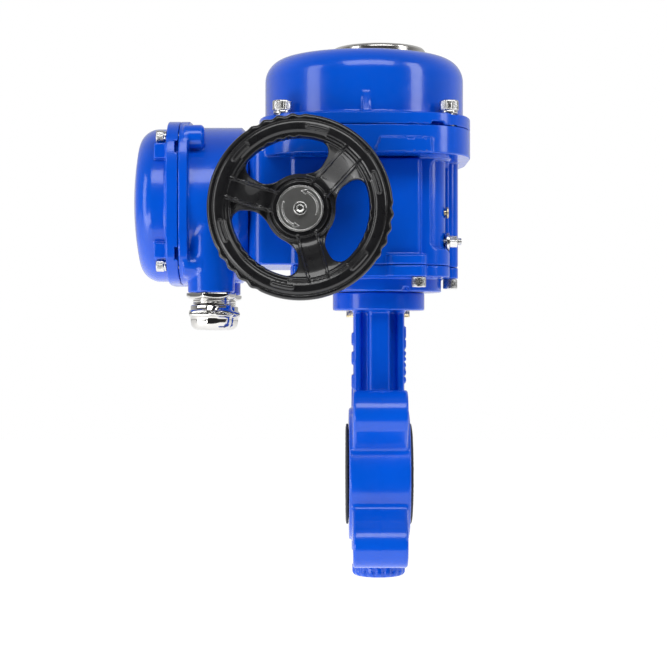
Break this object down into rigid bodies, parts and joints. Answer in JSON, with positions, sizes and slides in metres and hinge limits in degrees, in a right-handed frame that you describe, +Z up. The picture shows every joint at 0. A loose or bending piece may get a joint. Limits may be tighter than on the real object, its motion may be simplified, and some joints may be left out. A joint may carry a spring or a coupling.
{
  "type": "motorised butterfly valve",
  "caption": "Lug butterfly valve with a part-turn electric actuator, worm gear, manual handwheel, terminal box and position dial.",
  "frame": {"origin": "where the pipe axis meets the stem axis, at the middle of the closed disc", "axes": "+X along the pipe axis, +Z up the stem to the actuator, +Y away from the handwheel"},
  "size_m": [0.2354, 0.1737, 0.3723],
  "materials": {
    "blue_paint": "saturated blue gloss paint over castings",
    "seat_rubber": "matt black moulded rubber",
    "stainless": "bright stainless steel",
    "chrome": "polished nickel plated brass",
    "yellow_zinc": "yellow zinc plated steel",
    "steel": "machined steel",
    "bronze": "machined bronze",
    "black_gloss": "black gloss enamel on cast aluminium",
    "black_plastic": "moulded engineering plastic",
    "clear_window": "clear glass",
    "dial_yellow": "printed dial disc"
  },
  "bodies": {
    "root": {"valve_body": "blue_paint", "bottom_cap": "blue_paint", "base_flange": "blue_paint", "gear_housing": "blue_paint", "top_cover": "blue_paint", "terminal_box": "blue_paint", "terminal_box_cover": "blue_paint", "seat_liner": "seat_rubber", "stem_seal": "seat_rubber", "worm_seal": "seat_rubber", "motor": "stainless", "cover_screw_1": "stainless", "cover_screw_2": "stainless", "cover_screw_3": "stainless", "cover_screw_4": "stainless", "base_screw_1": "stainless", "base_screw_2": "stainless", "base_screw_3": "stainless", "base_screw_4": "stainless", "base_screw_5": "stainless", "box_screw_1": "stainless", "box_screw_2": "stainless", "box_screw_3": "stainless", "box_screw_4": "stainless", "stop_bolt_open": "stainless", "stop_washer_open": "stainless", "stop_nut_open": "stainless", "stop_bolt_closed": "stainless", "stop_washer_closed": "stainless", "stop_nut_closed": "stainless", "indicator_bezel": "chrome", "gland_body_1": "chrome", "gland_body_2": "chrome", "gland_nut_1": "chrome", "gland_nut_2": "chrome", "flange_bolt_1": "yellow_zinc", "flange_bolt_2": "yellow_zinc", "earth_screw": "yellow_zinc", "output_bearing": "steel", "worm_bearing_front": "steel", "worm_bearing_rear": "steel", "switch_deck": "steel", "stem_bush_upper": "bronze", "stem_bush_lower": "bronze", "limit_switches": "black_plastic", "terminal_block": "black_plastic", "indicator_window": "clear_window"},
    "handwheel_drive": {"worm_shaft": "steel", "spur_gear": "steel", "handwheel": "black_gloss", "handwheel_plate": "stainless", "handwheel_screw": "stainless"},
    "valve_shaft": {"valve_disc": "stainless", "valve_stem": "stainless", "drive_sleeve": "steel", "worm_wheel": "bronze", "limit_cam": "black_plastic", "indicator_dial": "dial_yellow"},
    "motor_rotor": {"motor_pinion": "steel"}
  },
  "joints": [
    {"name": "handwheel_turn", "type": "hinge", "parent": "root", "child": "handwheel_drive", "pos_m": [-0.054, 0, 0.182], "axis": [0, -1, 0], "range_deg": [0, 3600]},
    {"name": "valve_turn", "type": "hinge", "parent": "root", "child": "valve_shaft", "pos_m": [0, 0, 0], "axis": [0, 0, 1], "range_deg": [0, 90]},
    {"name": "motor_turn", "type": "hinge", "parent": "root", "child": "motor_rotor", "pos_m": [-0.054, 0, 0.218], "axis": [0, -1, 0], "continuous": true}
  ],
  "couplings": [
    {"joint": "valve_turn", "follows": "handwheel_turn", "ratio": 0.025},
    {"joint": "motor_turn", "follows": "handwheel_turn", "ratio": -3}
  ]
}
